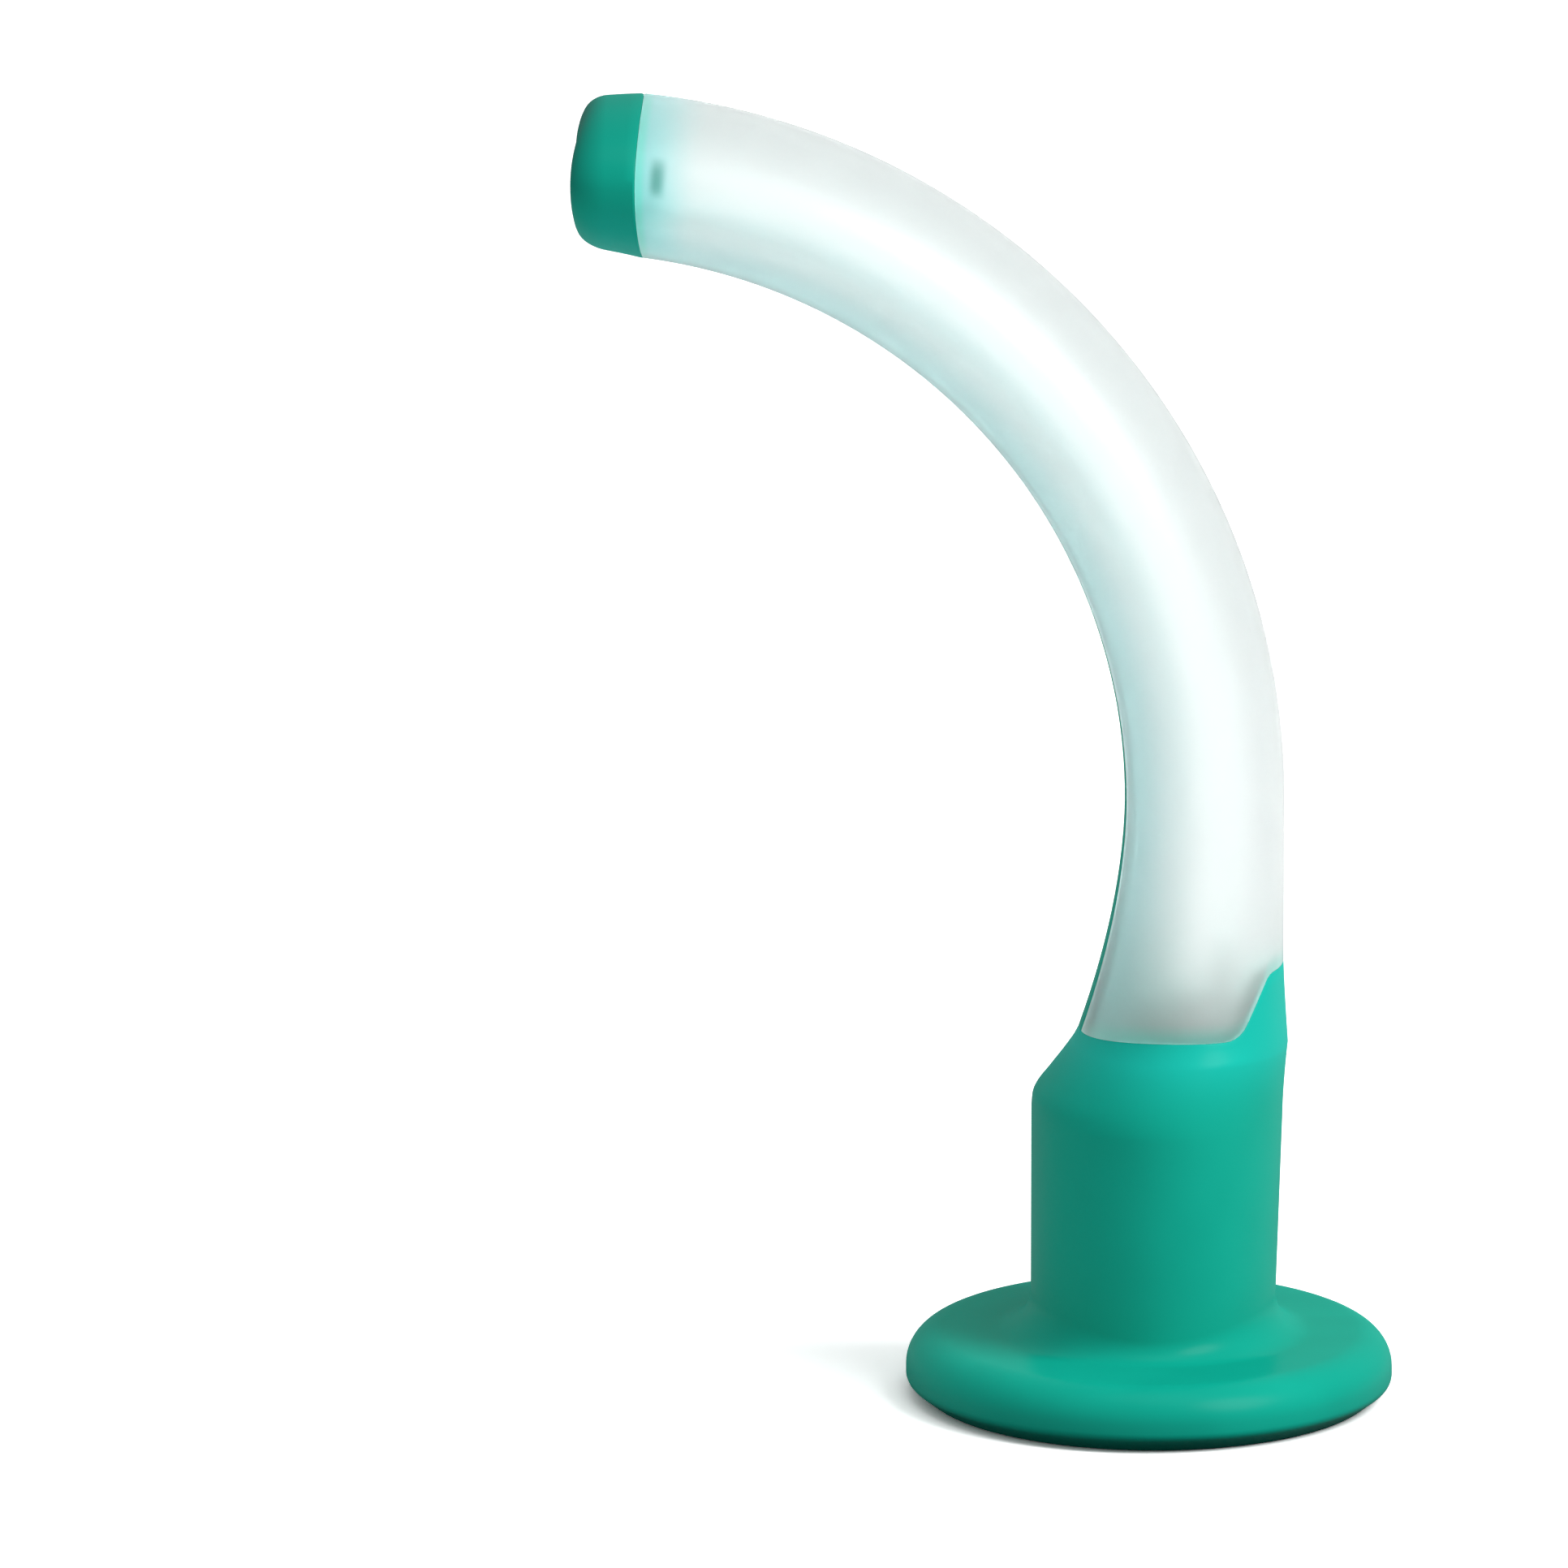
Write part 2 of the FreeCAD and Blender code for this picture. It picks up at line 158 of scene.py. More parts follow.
class Finish(bpy.types.PropertyGroup):
    """Colours of the two plastics, and the painted light and shade on them."""

    green: colour("Green", "Colour of the soft moulding", 0.004, 0.36, 0.262)
    green_deep: colour("Deep green", "The same in its faint darker patches", 0.003, 0.33, 0.24)
    # The next colour is darker towards the tip's face, where the green is thicker, and is painted shade
    # on the tip's top. The one after is lighter where the green is thin over the tube, and is painted
    # light on the tip's underside.
    green_thick_and_painted_shade: colour("Thick green and painted shade", "The same towards the tip's face", 0.004, 0.17, 0.125)
    green_thin_and_painted_light: colour("Thin green and painted light", "The same where it is thin over the tube", 0.008, 0.46, 0.37)
    milky: colour("Milky", "Colour of the hard tube", 0.96, 0.99, 0.985)
    # The next four are painted light and shade: green light and shade near the stripe and the tip, shade
    # on the convex side, shade where the green shuts light out, and a green glow right beside the green.
    painted_green_light_and_shade: colour("Painted green light and shade", "The hard tube near the stripe and the tip", 0.43, 0.94, 0.95)
    painted_convex_shade: colour("Painted convex shade", "The hard tube on its convex side", 0.84, 0.90, 0.885)
    shaded: colour("Shaded", "The hard tube where the green shuts light out", 0.22, 0.54, 0.50)
    painted_halo: colour("Halo", "The hard tube right beside the green", 0.32, 0.96, 0.85)


class Stage(bpy.types.PropertyGroup):
    """Camera and light."""

    elevation: FloatProperty(
        name="Elevation", description="Camera above the horizon",
        default=math.radians(9.15), subtype="ANGLE",
    )
    azimuth: FloatProperty(
        name="Azimuth", description="Camera round from the front",
        default=math.radians(0.5), subtype="ANGLE",
    )
    distance: FloatProperty(
        name="Distance", description="Camera from its target", default=1.0, unit="LENGTH"
    )
    lens: FloatProperty(name="Lens", description="Focal length in millimetres", default=359.6)
    key: FloatProperty(name="Key", description="Key light in watts", default=16.0)
    top: FloatProperty(name="Top", description="Overhead light in watts", default=3.0)
    fill: FloatProperty(name="Fill", description="World light on the object", default=0.54)


# Formulas in node trees


class Term:
    """A number worked out by nodes, so that a formula reads as one."""

    def __init__(self, tree, socket):
        self.tree = tree
        self.socket = socket

    def made(self, operation, *others):
        node = self.tree.nodes.new("ShaderNodeMath")
        node.operation = operation
        for place, value in zip(node.inputs, (self, *others)):
            if isinstance(value, Term):
                self.tree.links.new(value.socket, place)
            else:
                place.default_value = value
        return Term(self.tree, node.outputs[0])

    def __add__(self, other):
        return self.made("ADD", other)

    def __sub__(self, other):
        return self.made("SUBTRACT", other)

    def __mul__(self, other):
        return self.made("MULTIPLY", other)

    def __truediv__(self, other):
        return self.made("DIVIDE", other)

    def __pow__(self, other):
        return self.made("POWER", other)

    def at_least(self, other):
        return self.made("MAXIMUM", other)

    def at_most(self, other):
        return self.made("MINIMUM", other)


def tree_with_inputs(name, floats):
    """A geometry tree with a mesh, a material and these named numbers going in."""
    tree = bpy.data.node_groups.new(name, "GeometryNodeTree")
    tree.interface.new_socket("Mesh", in_out="INPUT", socket_type="NodeSocketGeometry")
    for label in floats:
        tree.interface.new_socket(label, in_out="INPUT", socket_type="NodeSocketFloat")
    tree.interface.new_socket("Material", in_out="INPUT", socket_type="NodeSocketMaterial")
    tree.interface.new_socket("Mesh", in_out="OUTPUT", socket_type="NodeSocketGeometry")
    entry = tree.nodes.new("NodeGroupInput")
    return tree, entry, {label: Term(tree, entry.outputs[label]) for label in floats}


def finish_tree(tree, entry, mesh):
    """Realize Instances and Set Material at the tree's end."""
    realize = tree.nodes.new("GeometryNodeRealizeInstances")
    paint = tree.nodes.new("GeometryNodeSetMaterial")
    leave = tree.nodes.new("NodeGroupOutput")
    tree.links.new(mesh, realize.inputs["Geometry"])
    tree.links.new(realize.outputs["Geometry"], paint.inputs["Geometry"])
    tree.links.new(entry.outputs["Material"], paint.inputs["Material"])
    tree.links.new(paint.outputs["Geometry"], leave.inputs["Mesh"])


def place_of(tree):
    """The x, y and z of each point as terms."""
    position = tree.nodes.new("GeometryNodeInputPosition")
    parts = tree.nodes.new("ShaderNodeSeparateXYZ")
    tree.links.new(position.outputs["Position"], parts.inputs["Vector"])
    return [Term(tree, parts.outputs[axis]) for axis in "XYZ"]


def moved_to(tree, mesh, x, y, z, only=None):
    """The mesh moved to x, y, z, or only its points that have the named attribute."""
    whole = tree.nodes.new("ShaderNodeCombineXYZ")
    for term, axis in zip((x, y, z), "XYZ"):
        tree.links.new(term.socket, whole.inputs[axis])
    move = tree.nodes.new("GeometryNodeSetPosition")
    tree.links.new(mesh, move.inputs["Geometry"])
    tree.links.new(whole.outputs["Vector"], move.inputs["Position"])
    if only:
        choice = tree.nodes.new("GeometryNodeInputNamedAttribute")
        choice.data_type = "BOOLEAN"
        choice.inputs["Name"].default_value = only
        tree.links.new(choice.outputs["Attribute"], move.inputs["Selection"])
    return move.outputs["Geometry"]


def with_tree(piece, tree, values, material):
    """Puts the tree on the piece and turns its result into a plain mesh."""
    modifier = piece.modifiers.new(tree.name, "NODES")
    modifier.node_group = tree
    for item in tree.interface.items_tree:
        if item.in_out == "INPUT" and item.name in values:
            modifier[item.identifier] = values[item.name]
        if item.in_out == "INPUT" and item.name == "Material":
            modifier[item.identifier] = material
    graph = bpy.context.evaluated_depsgraph_get()
    evaluated = piece.evaluated_get(graph)
    mesh = bpy.data.meshes.new_from_object(
        evaluated, preserve_all_data_layers=True, depsgraph=graph
    )
    piece.modifiers.remove(modifier)
    piece.data = mesh
    mesh.name = piece.name


def tidy_faces(piece, sharp_over=32):
    """Faces outwards, smooth, with sharp edges where they turn by more than this angle."""
    work = bmesh.new()
    work.from_mesh(piece.data)
    bmesh.ops.recalc_face_normals(work, faces=work.faces)
    for face in work.faces:
        face.smooth = True
    for edge in work.edges:
        edge.smooth = edge.calc_face_angle(0) < math.radians(sharp_over)
    loose = sum(1 for edge in work.edges if len(edge.link_faces) != 2)
    work.to_mesh(piece.data)
    work.free()
    if loose:
        raise RuntimeError(f"{piece.name} has {loose} edges that don't join two faces")


# The tube's form


def tube_values(tube):
    """The sizes that carry the flat pattern on to the tube."""
    return {
        "Half Width": tube.width / 2,
        "Half Thickness": tube.thickness / 2,
        "Axis Shift": tube.axis_shift,
        "Bend Start": tube.bend_start,
        "Bend Radius": tube.bend_radius,
        "Flare Foot": tube.flare_foot,
        "Flare Reach": tube.flare_reach,
        "Flare Side": tube.flare_side,
        "Flare Power": tube.flare_power,
        "Mouth Height": tube.mouth_height,
        "Root Half Width": tube.mouth_long / 2 + tube.wall,
        "Root Half Thickness": tube.mouth_short / 2 + tube.wall,
    }


def carrying_tree(names):
    """Carries a flat pattern on to the airway.

    The pattern's x is the way along the tube, its y the angle round it, and its z the depth.
    """
    tree, entry, given = tree_with_inputs("carried_on_to_the_tube", names)
    along, angle, depth = place_of(tree)
    start, foot, mouth = given["Bend Start"], given["Flare Foot"], given["Mouth Height"]
    flare = ((start - along.at_least(foot)) / (start - foot)).at_least(0.0) ** given["Flare Power"]
    low = ((foot - along) / (foot - mouth)).at_least(0.0)
    half_reach = given["Flare Reach"] * 0.5
    side = given["Half Width"] + given["Flare Side"]
    thick = given["Half Thickness"] + half_reach
    half_width = given["Half Width"] + given["Flare Side"] * flare
    half_width = half_width + low * (given["Root Half Width"] - side)
    half_thick = given["Half Thickness"] + half_reach * flare
    half_thick = half_thick + low * (given["Root Half Thickness"] - thick)
    foot_middle = given["Axis Shift"] - half_reach
    middle = given["Axis Shift"] - half_reach * flare - low * foot_middle
    turn = (along - start).at_least(0.0) / given["Bend Radius"]
    bend_middle = given["Axis Shift"] - given["Bend Radius"]
    out = (half_thick - depth) * angle.made("COSINE") + middle - bend_middle
    x = bend_middle + out * turn.made("COSINE")
    y = (half_width - depth) * angle.made("SINE")
    z = along.at_most(start) + out * turn.made("SINE")
    finish_tree(tree, entry, moved_to(tree, entry.outputs["Mesh"], x, y, z, only="on_tube"))
    return tree


def over_tube(tube, angle):
    """How far the green stands over the tube at the flare's foot."""
    thicker = tube.shoulder_side * math.sin(angle) ** 2
    thicker += tube.shoulder_convex * max(0.0, math.cos(angle)) ** 2
    return tube.shoulder_step + thicker


class Pattern:
    """The flat pattern of both mouldings: lines along the tube, lines round it, and four depths.

    A cell lies between two neighbouring lines each way and two neighbouring depths. Each cell is
    clear, green or empty, and a moulding is the closed skin round its own cells.
    """

    ROUND_CLEAR = 112
    ACROSS_STRIPE = 6
    # How often the sleeve's edge is worked out anew, because the flare changes with its height
    SETTLING = 12
    # How quickly the green over the flare's foot thins out upwards
    LEDGE_POWER = 1.2

    def __init__(self, tube):
        self.tube = tube
        self.tops = {}
        self.lines_round()
        self.lines_along()

    def lines_round(self):
        """Angles from the stripe's edge round by the convex side and back to the stripe."""
        half = math.asin(self.tube.stripe_width / self.tube.width)
        seam = self.tube.seam_width / (self.tube.width / 2)
        far, many = 2 * math.pi - 2 * (half + seam), self.ROUND_CLEAR
        outside = [math.pi + half + seam + far * k / many for k in range(many + 1)]
        inner, many = half - seam, self.ACROSS_STRIPE
        across = [3 * math.pi - inner + 2 * inner * k / many for k in range(many + 1)]
        self.angles = outside + [3 * math.pi - half] + across + [3 * math.pi + half]
        self.stripe = range(len(outside), len(outside) + len(across) + 1)
        self.stripe_half = half

    def lines_along(self):
        """Names of the lines that something ends at, with even lines between them."""
        # Each named line, and the number of cells from it to the next
        marks = [
            ("mouth", 9), ("window", 9), ("foot", 6), ("below", 1), ("cover", 1), ("above", 14),
            ("bend", 62), ("before", 1), ("cap", 1), ("behind", 3), ("lead", 9),
        ]
        self.mark, self.steps = {}, []
        for name, many in marks:
            self.mark[name] = len(self.steps)
            self.steps += [(name, k / many) for k in range(many)]
        self.mark["end"] = len(self.steps)
        self.steps.append(("end", 0))
        names = [name for name, many in marks] + ["end"]
        self.next_name = dict(zip(names, names[1:]))
        tube, seam = self.tube, self.tube.seam_width
        # What each line follows, how far beside it the line runs, and which way the fit goes
        self.named = {
            "mouth": (tube.mouth_height, 0, 1),
            "window": (tube.window_top, 0, 1),
            "foot": (tube.flare_foot, 0, 0),
            "below": ("sleeve", -seam, 0),
            "cover": ("sleeve", 0, 1),
            "above": ("sleeve", seam, 0),
            "bend": (tube.bend_start, 0, 0),
            "before": ("tip", -seam, 0),
            "cap": ("tip", 0, -1),
            "behind": ("tip", seam, 0),
        }

    def top_of_green(self, angle):
        """Height of the sleeve's edge: level at the sides, with a tongue on the convex side."""
        if angle not in self.tops:
            tube = self.tube
            height = tube.cover_height
            for _ in range(self.SETTLING):
                flare = (tube.bend_start - height) / (tube.bend_start - tube.flare_foot)
                reach = tube.flare_reach / 2 * flare**tube.flare_power
                height = self.tongue((tube.thickness / 2 + reach) * math.cos(angle) - reach)
                height -= tube.edge_drop * max(0.0, -math.cos(angle)) ** 2
            self.tops[angle] = height
        return self.tops[angle]

    def tongue(self, x):
        """The sleeve's edge seen from the side: two level runs and a slope, with rounded corners."""
        tube = self.tube
        low, high = tube.cover_height, tube.tongue_height
        slope = (high - low) / tube.tongue_slope
        turn = math.atan(slope)
        corners = (
            (tube.tongue_start, low, 1, tube.tongue_foot_round),
            (tube.tongue_start + tube.tongue_slope, high, -1, tube.tongue_round),
        )
        for corner, level, sign, rounding in corners:
            reach = rounding * math.tan(turn / 2)
            away = reach + sign * (x - corner)
            if 0 < away < reach * (1 + math.cos(turn)):
                return level + sign * (rounding - math.sqrt(rounding**2 - away**2))
        return min(high, max(low, low + slope * (x - tube.tongue_start)))

    def from_face(self, away, angle, depth):
        """Way along the tube of a point that lies this far behind the plane of the tip's face."""
        tube = self.tube
        radius = tube.bend_radius + (tube.thickness / 2 - depth) * math.cos(angle)
        return tube.bend_start + tube.bend_radius * math.acos(away / radius)

    def face_at(self, angle):
        """How far the edge of the tip's face lies behind its foremost point."""
        level = math.cos(angle)
        return self.tube.cap_bow * level**2 + self.tube.cap_tilt * max(0.0, level) ** 3

    def tapered(self, away):
        """How far the tip has drawn in this far behind its face, without the rounding."""
        tube = self.tube
        return tube.cap_taper * (tube.cap_length - away) / (tube.cap_length - tube.cap_nose)

    def cap_start(self, angle, depth=0.0):
        """Where the green tip begins: cap_length behind its face, and a little less at the sides."""
        tube = self.tube
        return self.from_face(tube.cap_length - tube.cap_bow * math.sin(angle) ** 2, angle, depth)

    def place_along(self, name, angle, side, depth):
        """Where a named line runs. Side is +1 for the clear tube and -1 for the green."""
        tube = self.tube
        if name == "lead":
            return self.from_face(tube.cap_lead, angle, depth) - tube.fit * side
        if name == "end":
            return self.from_face(self.face_at(angle), angle, depth)
        base, shift, turns = self.named[name]
        if base == "sleeve":
            base = self.top_of_green(angle)
        if base == "tip":
            base = self.cap_start(angle, depth)
        return base + shift + tube.fit * turns * side

    def is_clear(self, i, j, k):
        """Whether the hard tube fills this cell."""
        in_stripe = j in self.stripe
        if k == 0:
            return self.mark["cover"] <= i < self.mark["cap"] and not in_stripe
        in_window = in_stripe and i < self.mark["window"]
        return k == 1 and 0 <= i < self.mark["lead"] and not in_window

    def is_green(self, i, j, k):
        """Whether the green moulding fills this cell."""
        if not 0 <= i < self.mark["end"] or not 0 <= k < 3:
            return False
        if k == 2:
            return i >= self.mark["lead"]
        return not self.is_clear(i, j, k)

    def angle_of(self, j, side):
        """Angle of a line round the tube, with the fit left at the stripe's two edges."""
        angle = self.angles[j]
        first, last = self.stripe[0], self.stripe[-1] + 1
        shift = self.tube.fit / (self.tube.width / 2) * side
        return angle - shift if j == first else angle + shift if j == last else angle

    def node(self, i, j, k, side):
        """Way along, angle and depth of the point where three lines cross."""
        tube = self.tube
        angle = self.angle_of(j, side)
        if i >= self.mark["lead"] and k in (0, 3) and side < 0:
            return self.nose(i, angle, k)
        name, part = self.steps[i]
        depth = (0.0, tube.skin + tube.fit * side, tube.wall, tube.wall + tube.cap_lip)[k]
        if i == self.mark["end"]:
            outer = self.tapered(self.face_at(angle)) + tube.cap_round
            depth = outer + (tube.wall - outer) * k / 3
        if k == 0 and self.on_seam(i, j):
            depth = tube.seam_depth
        elif k == 0 and side < 0 and name == "foot":
            depth = -over_tube(tube, angle) * (1 - part) ** self.LEDGE_POWER
        elif k == 0 and name == "behind":
            depth = tube.cap_taper * part
        along = self.place_along(name, angle, side, depth)
        if part:
            if k == 0 and name == "behind":
                after = self.from_face(tube.cap_nose, angle, depth)
            else:
                after = self.place_along(self.next_name[name], angle, side, depth)
            along += (after - along) * part
        return Vector((along, angle, depth))

    def on_seam(self, i, j):
        """Whether clear and green meet at this point of the outside."""
        around = len(self.angles)
        near = {self.is_clear(a, b % around, 0) for a in (i - 1, i) for b in (j - 1, j)}
        return len(near) == 2

    def nose(self, i, angle, k):
        """The tip's roundings, outside at the first depth and inside at the last."""
        tube = self.tube
        step, many = i - self.mark["lead"], self.mark["end"] - self.mark["lead"]
        face = self.face_at(angle)
        deep = tube.wall + tube.cap_lip
        if k == 0:
            turn = math.pi / 2 * step / many
            away = face + (tube.cap_nose - face) * (1 - math.sin(turn))
            depth = self.tapered(away) + tube.cap_round * (1 - math.cos(turn))
        elif step == 0:
            away, depth = tube.cap_lead - tube.fit, deep
        else:
            turn = math.pi / 2 * (step - 1) / (many - 1)
            away = face + tube.cap_lip * (1 - math.sin(turn))
            depth = deep - tube.cap_lip * (1 - math.cos(turn))
        return Vector((self.from_face(away, angle, depth), angle, depth))


class Shell:
    """Points and faces of one moulding, gathered before they become a mesh."""

    def __init__(self):
        self.points = []
        self.on_tube = []
        self.faces = []
        self.known = {}

    def point(self, key, place, on_tube=False):
        """The number of the point with this key. Place is worked out only for a new one."""
        if key not in self.known:
            self.known[key] = len(self.points)
            self.points.append(place())
            self.on_tube.append(on_tube)
        return self.known[key]

    def skin(self, pattern, fills, side, left_open=lambda i, j, k, way: False):
        """The closed skin round the cells that fills says yes to."""
        around = len(pattern.angles)
        corners = {
            "along": ((0, 0, 0), (0, 1, 0), (0, 1, 1), (0, 0, 1)),
            "round": ((0, 0, 0), (1, 0, 0), (1, 0, 1), (0, 0, 1)),
            "depth": ((0, 0, 0), (1, 0, 0), (1, 1, 0), (0, 1, 0)),
        }
        steps = {"along": (1, 0, 0), "round": (0, 1, 0), "depth": (0, 0, 1)}
        lines, depths = range(pattern.mark["end"]), range(3)
        every = ((i, j, k) for i in lines for j in range(around) for k in depths)
        for i, j, k in every:
            if not fills(i, j, k):
                continue
            for (way, (di, dj, dk)), far in product(steps.items(), (0, 1)):
                step = 2 * far - 1
                beyond = (i + step * di, (j + step * dj) % around, k + step * dk)
                if fills(*beyond) or left_open(i, j, k, (way, far)):
                    continue
                face = []
                for a, b, c in corners[way]:
                    spot = (i + a + far * di, (j + b + far * dj) % around, k + c + far * dk)
                    face.append(self.point(spot, lambda: pattern.node(*spot, side), on_tube=True))
                self.faces.append(face)

    def band(self, one, other):
        """Faces between two rings of point numbers."""
        many = len(one)
        for j in range(many):
            n = (j + 1) % many
            self.faces.append([one[j], one[n], other[n], other[j]])

    def mesh(self, name):
        made = bpy.data.meshes.new(name)
        made.from_pydata([tuple(p) for p in self.points], [], self.faces)
        on_tube = made.attributes.new("on_tube", "BOOLEAN", "POINT")
        on_tube.data.foreach_set("value", self.on_tube)
        return made


def new_piece(name, mesh):
    piece = bpy.data.objects.new(name, mesh)
    bpy.context.scene.collection.objects.link(piece)
    return piece


# The flange and the bite block

# How far inside the flange the bite block's side starts to lean
BLOCK_SUNK = 1 * MM
# Rounding of the raised ring's inner edge, and how the funnel starts beside and below its foot
BEAD_ROUND = 0.18 * MM
FUNNEL_INSET = 0.5 * MM
FUNNEL_DROP = 0.05 * MM


def between(values, part):
    """A smooth curve through evenly spaced values."""
    spot = part * (len(values) - 1)
    k = min(int(spot), len(values) - 2)
    t = spot - k
    before = values[k - 1] if k else 2 * values[0] - values[1]
    after = values[k + 2] if k + 2 < len(values) else 2 * values[-1] - values[-2]
    a, b = values[k], values[k + 1]
    lead, tail = (b - before) / 2, (after - a) / 2
    return (
        a * (2 * t**3 - 3 * t**2 + 1) + b * (3 * t**2 - 2 * t**3)
        + lead * (t**3 - 2 * t**2 + t) + tail * (t**3 - t**2)
    )


def quarter_turns(many, first=0):
    """Even angles over a quarter turn, for roundings."""
    return [math.pi / 2 * k / many for k in range(first, many + 1)]


def ring(half_long, half_short, middle, height, out=0.0):
    """An oval ring at a height, to be moved out along its own normals."""
    return {"long": half_long, "short": half_short, "x": middle, "z": height, "out": out}


def ring_point(shape, angle):
    """A point on an oval ring, moved out along the oval's own normal."""
    short, long, cosine, sine = shape["short"], shape["long"], math.cos(angle), math.sin(angle)
    normal = Vector((cosine / short, sine / long, 0)).normalized()
    return Vector((shape["x"] + short * cosine, long * sine, shape["z"])) + normal * shape["out"]


def shoulder_rows(sleeve, tube, angles):
    """Rows of points from the tube down to the bite block.

    The shoulder is a chamfer with soft ends on the concave side, and round elsewhere.
    """
    half_short = (sleeve.block_short + sleeve.block_lean) / 2
    middle = sleeve.block_shift + sleeve.block_lean / 2
    chamfer = (0.0, 0.01, 0.045, 0.17, 0.35, 0.52, 0.69, 0.85, 1.0)
    many, round_power = 24, 1.5
    rows = []
    for k in range(1, many + 1):
        part = 1 - k / many
        height = sleeve.shoulder_height + (tube.flare_foot - sleeve.shoulder_height) * part
        row = []
        for angle in angles:
            over = over_tube(tube, angle)
            on_tube = Vector((
                tube.axis_shift - tube.flare_reach / 2
                + ((tube.thickness + tube.flare_reach) / 2 + over) * math.cos(angle),
                (tube.width / 2 + tube.flare_side + over) * math.sin(angle),
                height,
            ))
            on_block = ring_point(ring(sleeve.block_long / 2, half_short, middle, height), angle)
            concave = max(0.0, -math.cos(angle)) ** 2
            rounded = part**round_power
            toward = rounded + (between(chamfer, part) - rounded) * concave
            row.append(on_block.lerp(on_tube, toward))
        rows.append(row)
    return rows


def block_rows(sleeve, angles):
    """Rows of points down the bite block, round the hollow at its foot and out over the flange."""
    top, many, over_flange = sleeve.flange_thick, 12, 4
    base = top - BLOCK_SUNK

    def wall(angle, height, out=0.0):
        lean = sleeve.block_lean / 2 * (height - base) / (sleeve.shoulder_height - base)
        half_short, middle = sleeve.block_short / 2 + lean, sleeve.block_shift + lean
        return ring_point(ring(sleeve.block_long / 2, half_short, middle, height, out), angle)

    rim = ring(sleeve.flange_long / 2, sleeve.flange_short / 2, 0, top, -sleeve.rim_round)
    columns = []
    for angle in angles:
        tight = math.sin(angle) ** 4
        hollow = sleeve.block_foot_round
        hollow += (sleeve.block_foot_tight - sleeve.block_foot_round) * tight
        column = []
        for k in range(1, many + 1):
            height = sleeve.shoulder_height + (top + hollow - sleeve.shoulder_height) * k / many
            column.append(wall(angle, height))
        for turn in quarter_turns(many, first=1):
            height = top + hollow * (1 - math.sin(turn))
            column.append(wall(angle, height, hollow * (1 - math.cos(turn))))
        inner, outer = column[-1], ring_point(rim, angle)
        for k in range(over_flange):
            column.append(inner.lerp(outer, (k + 1) / (over_flange + 1)))
        columns.append(column)
    return [list(row) for row in zip(*columns)]


def rim_rings(sleeve):
    """Rings round the flange's rim and down its slanting foot to the ground."""
    long, short, rounding = sleeve.flange_long / 2, sleeve.flange_short / 2, sleeve.rim_round
    rings = []
    for turn in quarter_turns(14):
        height = sleeve.flange_thick - rounding * (1 - math.cos(turn))
        rings.append(ring(long, short, 0, height, -rounding * (1 - math.sin(turn))))
    high, inward, soft = sleeve.rim_foot_height, sleeve.rim_foot_inward, sleeve.rim_foot_soft
    slant = Vector((-inward, -high)).normalized() * soft
    # Each corner, and where its rounding begins and ends, seen from the corner
    corners = (
        (Vector((0, high)), Vector((0, soft)), slant),
        (Vector((-inward, 0)), -slant * 0.5, Vector((-soft * 0.5, 0))),
    )
    many = 6
    for corner, before, after in corners:
        for k in range(many + 1):
            t = k / many
            place = corner + before * (1 - t) ** 2 + after * t**2
            rings.append(ring(long, short, 0, place.y, place.x))
    return rings


def bead_rings(sleeve):
    """Rings over the inner edge of the raised ring round the flange's front."""
    long = sleeve.flange_long / 2 - sleeve.bead_width
    short = sleeve.flange_short / 2 - sleeve.bead_width
    edge, deep = BEAD_ROUND, sleeve.bead_depth
    rings = []
    for turn in quarter_turns(6):
        height = edge * (1 - math.cos(turn))
        rings.append(ring(long, short, 0, height, edge * (1 - math.sin(turn))))
    many = 5
    for k, turn in enumerate(quarter_turns(many, first=1), start=1):
        height = deep - edge * (1 - math.sin(turn)) - FUNNEL_DROP * k / many
        rings.append(ring(long, short, 0, height, -edge * (1 - math.cos(turn))))
    return rings


def funnel_rings(sleeve, tube):
    """Rings up the hollow face of the flange to the hard tube's end."""
    mouth_long = tube.mouth_long / 2 + sleeve.throat_step
    mouth_short = tube.mouth_short / 2 + sleeve.throat_step
    wide_long = sleeve.flange_long / 2 - sleeve.bead_width - FUNNEL_INSET
    wide_short = sleeve.flange_short / 2 - sleeve.bead_width - FUNNEL_INSET
    lowest = sleeve.bead_depth - FUNNEL_DROP
    rings, many = [], 30
    for k in range(many + 1):
        part = k / many
        left = (1 - part) ** sleeve.funnel_curve
        rings.append(ring(
            mouth_long + (wide_long - mouth_long) * left,
            mouth_short + (wide_short - mouth_short) * left,
            0, lowest + (tube.mouth_height - tube.fit - lowest) * part,
        ))
    return rings


# Materials


def new_material(name):
    material = bpy.data.materials.new(name)
    material.use_nodes = True
    return material, material.node_tree, material.node_tree.nodes["Principled BSDF"]


def noise(tree, scale):
    """Fine unevenness in the object's own coordinates."""
    where = tree.nodes.new("ShaderNodeTexCoord")
    grain = tree.nodes.new("ShaderNodeTexNoise")
    grain.inputs["Scale"].default_value = scale
    grain.inputs["Detail"].default_value = 2.0
    tree.links.new(where.outputs["Object"], grain.inputs["Vector"])
    return grain.outputs["Fac"]


def mixed(tree, factor, one, other):
    """A colour between two, each a colour or a socket."""
    mix = tree.nodes.new("ShaderNodeMix")
    mix.data_type = "RGBA"
    tree.links.new(factor, mix.inputs["Factor"])
    for value, label in ((one, "A"), (other, "B")):
        place = next(s for s in mix.inputs if s.name == label and s.type == "RGBA")
        if isinstance(value, bpy.types.NodeSocket):
            tree.links.new(value, place)
        else:
            place.default_value = (*value, 1)
    return next(s for s in mix.outputs if s.type == "RGBA")


